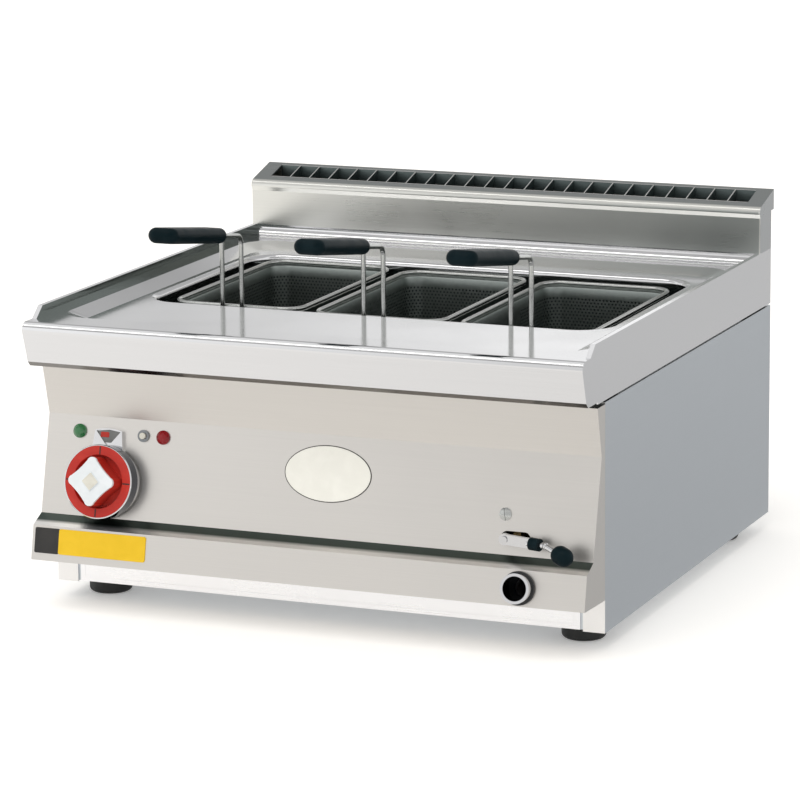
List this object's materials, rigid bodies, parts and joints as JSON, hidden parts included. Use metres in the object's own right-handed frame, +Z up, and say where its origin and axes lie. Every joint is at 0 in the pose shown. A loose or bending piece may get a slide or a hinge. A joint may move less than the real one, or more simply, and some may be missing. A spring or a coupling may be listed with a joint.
{
  "type": "countertop pasta cooker",
  "caption": "Countertop stainless pasta cooker with a water tank, lift-out perforated baskets, selector knob, indicator lamps, reset button, drain tap and a finned flue splashback.",
  "frame": {"origin": "on the counter, under the middle of the whole object's box", "axes": "+X to the right seen from the front, +Y to the back, +Z up"},
  "size_m": [0.6, 0.6162, 0.3971],
  "materials": {
    "cabinet_steel": "brushed",
    "panel_steel": "brushed",
    "deck_steel": "satin",
    "flue_steel": "satin",
    "tank_steel": "satin",
    "basket_steel": "perforated satin",
    "foot_rubber": "matte",
    "grip_black": "satin",
    "flange_black": "matte",
    "bright_chrome": "polished",
    "dial_red": "gloss",
    "handle_white": "satin",
    "lens_green": "translucent",
    "lens_red": "translucent",
    "button_ivory": "satin",
    "switch_plastic": "moulded",
    "valve_brass": "machined",
    "pipe_steel": "plain",
    "element_steel": "heat-stained"
  },
  "bodies": {
    "cabinet": {"base_pan": "cabinet_steel", "left_side_panel": "cabinet_steel", "right_side_panel": "cabinet_steel", "rear_panel": "cabinet_steel", "plinth_strip": "panel_steel", "control_panel": "panel_steel", "left_top_rail": "cabinet_steel", "right_top_rail": "cabinet_steel", "front_top_rail": "cabinet_steel", "worktop": "deck_steel", "splash_front": "flue_steel", "splash_rear": "flue_steel", "left_flue_end": "flue_steel", "right_flue_end": "flue_steel", "flue_grille": "flue_steel", "flue_baffle": "flue_steel", "front_left_foot": "foot_rubber", "front_right_foot": "foot_rubber", "rear_left_foot": "foot_rubber", "rear_right_foot": "foot_rubber", "foot_nuts": "pipe_steel", "tank": "tank_steel", "false_bottom": "tank_steel", "heating_elements": "element_steel", "element_plate": "pipe_steel", "thermostat_bulb": "element_steel", "knob_bezel": "bright_chrome", "selector_switch": "switch_plastic", "green_lens": "lens_green", "red_lens": "lens_red", "lamp_holders": "switch_plastic", "safety_thermostat": "switch_plastic", "drain_pipe": "pipe_steel", "valve_body": "valve_brass", "outlet_pipe": "pipe_steel", "drain_outlet": "bright_chrome", "outlet_flange": "flange_black", "cable_gland": "flange_black", "terminal_block": "switch_plastic"},
    "selector_knob": {"knob_dial": "bright_chrome", "knob_handle": "dial_red", "knob_cap": "handle_white", "selector_shaft": "bright_chrome"},
    "reset": {"reset_button": "button_ivory"},
    "drain_tap": {"valve_ball": "pipe_steel", "valve_stem": "bright_chrome", "drain_lever": "bright_chrome", "lever_grip": "grip_black"},
    "left_basket": {"left_basket_body": "basket_steel", "left_basket_rim": "basket_steel", "left_basket_handle": "basket_steel", "left_basket_grip": "grip_black"},
    "middle_basket": {"middle_basket_body": "basket_steel", "middle_basket_rim": "basket_steel", "middle_basket_handle": "basket_steel", "middle_basket_grip": "grip_black"},
    "right_basket": {"right_basket_body": "basket_steel", "right_basket_rim": "basket_steel", "right_basket_handle": "basket_steel", "right_basket_grip": "grip_black"}
  },
  "joints": [
    {"name": "knob_turn", "type": "hinge", "parent": "cabinet", "child": "selector_knob", "pos_m": [-0.229, -0.26282, 0.13325], "axis": [0, 0.9734, -0.229], "range_deg": [0, 270]},
    {"name": "reset_press", "type": "slide", "parent": "cabinet", "child": "reset", "axis": [0, 0.9734, -0.229], "range_m": [0, 0.002], "stiffness_N_per_m": 800},
    {"name": "tap_turn", "type": "hinge", "parent": "cabinet", "child": "drain_tap", "pos_m": [0.209, -0.23171, 0.114], "axis": [0, -1, 0], "range_deg": [0, 90]},
    {"name": "left_basket_lift", "type": "slide", "parent": "cabinet", "child": "left_basket", "axis": [0, 0, 1], "range_m": [0, 0.17]},
    {"name": "middle_basket_lift", "type": "slide", "parent": "cabinet", "child": "middle_basket", "axis": [0, 0, 1], "range_m": [0, 0.17]},
    {"name": "right_basket_lift", "type": "slide", "parent": "cabinet", "child": "right_basket", "axis": [0, 0, 1], "range_m": [0, 0.17]}
  ]
}
